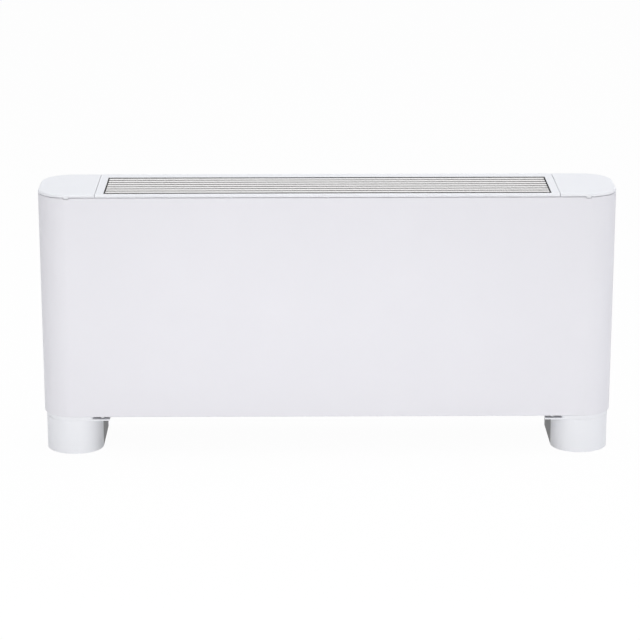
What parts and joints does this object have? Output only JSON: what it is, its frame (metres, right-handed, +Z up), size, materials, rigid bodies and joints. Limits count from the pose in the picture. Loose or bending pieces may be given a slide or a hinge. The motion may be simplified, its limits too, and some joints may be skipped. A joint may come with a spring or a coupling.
{
  "type": "fan coil unit",
  "caption": "Floor-standing fan coil unit: rounded white cabinet on hollow feet, bladed top outlet, hinged end lids, drop-down filter, double-inlet fans and an inclined water coil.",
  "frame": {"origin": "on the floor, under the middle of the cabinet", "axes": "+X to the right as seen from the front, +Y to the wall behind, +Z up"},
  "size_m": [1.24, 0.2, 0.58],
  "materials": {
    "casing_paint": "smooth satin white enamel",
    "moulded_white": "fine-grained white moulding",
    "outlet_grey": "warm light grey moulding",
    "galvanised": "spangled zinc coating",
    "fasteners": "bright zinc plating",
    "leg_grey": "matt grey paint",
    "dark_plastic": "matt black moulding",
    "motor_grey": "grey cast finish",
    "rubber_black": "matt rubber",
    "foam": "closed-cell foam",
    "fin_aluminium": "mill finish",
    "copper": "drawn copper",
    "brass": "machined brass",
    "mesh": "woven synthetic mesh",
    "box_plastic": "pale grey moulding",
    "capacitor_can": "drawn can"
  },
  "bodies": {
    "cabinet": {"front_casing": "casing_paint", "top_frame": "moulded_white", "left_foot_shroud": "moulded_white", "right_foot_shroud": "moulded_white", "outlet_blade_1": "outlet_grey", "outlet_blade_2": "outlet_grey", "outlet_blade_3": "outlet_grey", "outlet_blade_4": "outlet_grey", "outlet_blade_5": "outlet_grey", "outlet_blade_6": "outlet_grey", "outlet_blade_7": "outlet_grey", "lid_hinge_brackets": "galvanised", "back_panel": "galvanised", "left_end_plate": "galvanised", "right_end_plate": "galvanised", "fan_deck": "galvanised", "front_rail": "galvanised", "motor_bracket": "galvanised", "left_tube_sheet": "galvanised", "right_tube_sheet": "galvanised", "filter_hinge_ears": "galvanised", "filter_clips": "galvanised", "lid_hinge_pins": "fasteners", "scroll_screws": "fasteners", "filter_hinge_pins": "fasteners", "foot_bolts": "fasteners", "casing_screws": "fasteners", "left_leg_bracket": "leg_grey", "right_leg_bracket": "leg_grey", "grille_frame": "dark_plastic", "left_scroll_upper": "dark_plastic", "left_scroll_lower": "dark_plastic", "right_scroll_upper": "dark_plastic", "right_scroll_lower": "dark_plastic", "drain_pan": "dark_plastic", "drain_spigot": "dark_plastic", "cable_gland": "dark_plastic", "motor_body": "motor_grey", "motor_rubber_rings": "rubber_black", "front_insulation": "foam", "coil_fins": "fin_aluminium", "coil_hairpins": "copper", "coil_return_bends": "copper", "supply_header": "copper", "return_header": "copper", "water_sockets": "brass", "air_vent_body": "brass", "control_box": "box_plastic", "control_box_cover": "box_plastic", "terminal_block": "box_plastic", "capacitor": "capacitor_can"},
    "left_lid_body": {"left_lid": "moulded_white"},
    "right_lid_body": {"right_lid": "moulded_white"},
    "fan_rotor": {"left_fan_wheel": "dark_plastic", "right_fan_wheel": "dark_plastic", "fan_shaft": "fasteners"},
    "filter": {"filter_frame": "dark_plastic", "filter_mesh": "mesh"},
    "vent_screw": {"air_vent_screw": "brass"}
  },
  "joints": [
    {"name": "left_lid_hinge", "type": "hinge", "parent": "cabinet", "child": "left_lid_body", "pos_m": [-0.524, 0.0935, 0.5755], "axis": [-1, 0, 0], "range_deg": [0, 90]},
    {"name": "right_lid_hinge", "type": "hinge", "parent": "cabinet", "child": "right_lid_body", "pos_m": [0.524, 0.0935, 0.5755], "axis": [-1, 0, 0], "range_deg": [0, 90]},
    {"name": "fan_spin", "type": "hinge", "parent": "cabinet", "child": "fan_rotor", "pos_m": [0, -0.0068, 0.1966], "axis": [1, 0, 0], "continuous": true},
    {"name": "filter_hinge", "type": "hinge", "parent": "cabinet", "child": "filter", "pos_m": [0, 0.084, 0.093], "axis": [1, 0, 0], "range_deg": [0, 28]},
    {"name": "vent_screw_turn", "type": "hinge", "parent": "cabinet", "child": "vent_screw", "pos_m": [-0.518, 0.0746, 0.5151], "axis": [0, 0.4695, 0.8829], "range_deg": [0, 360]}
  ]
}
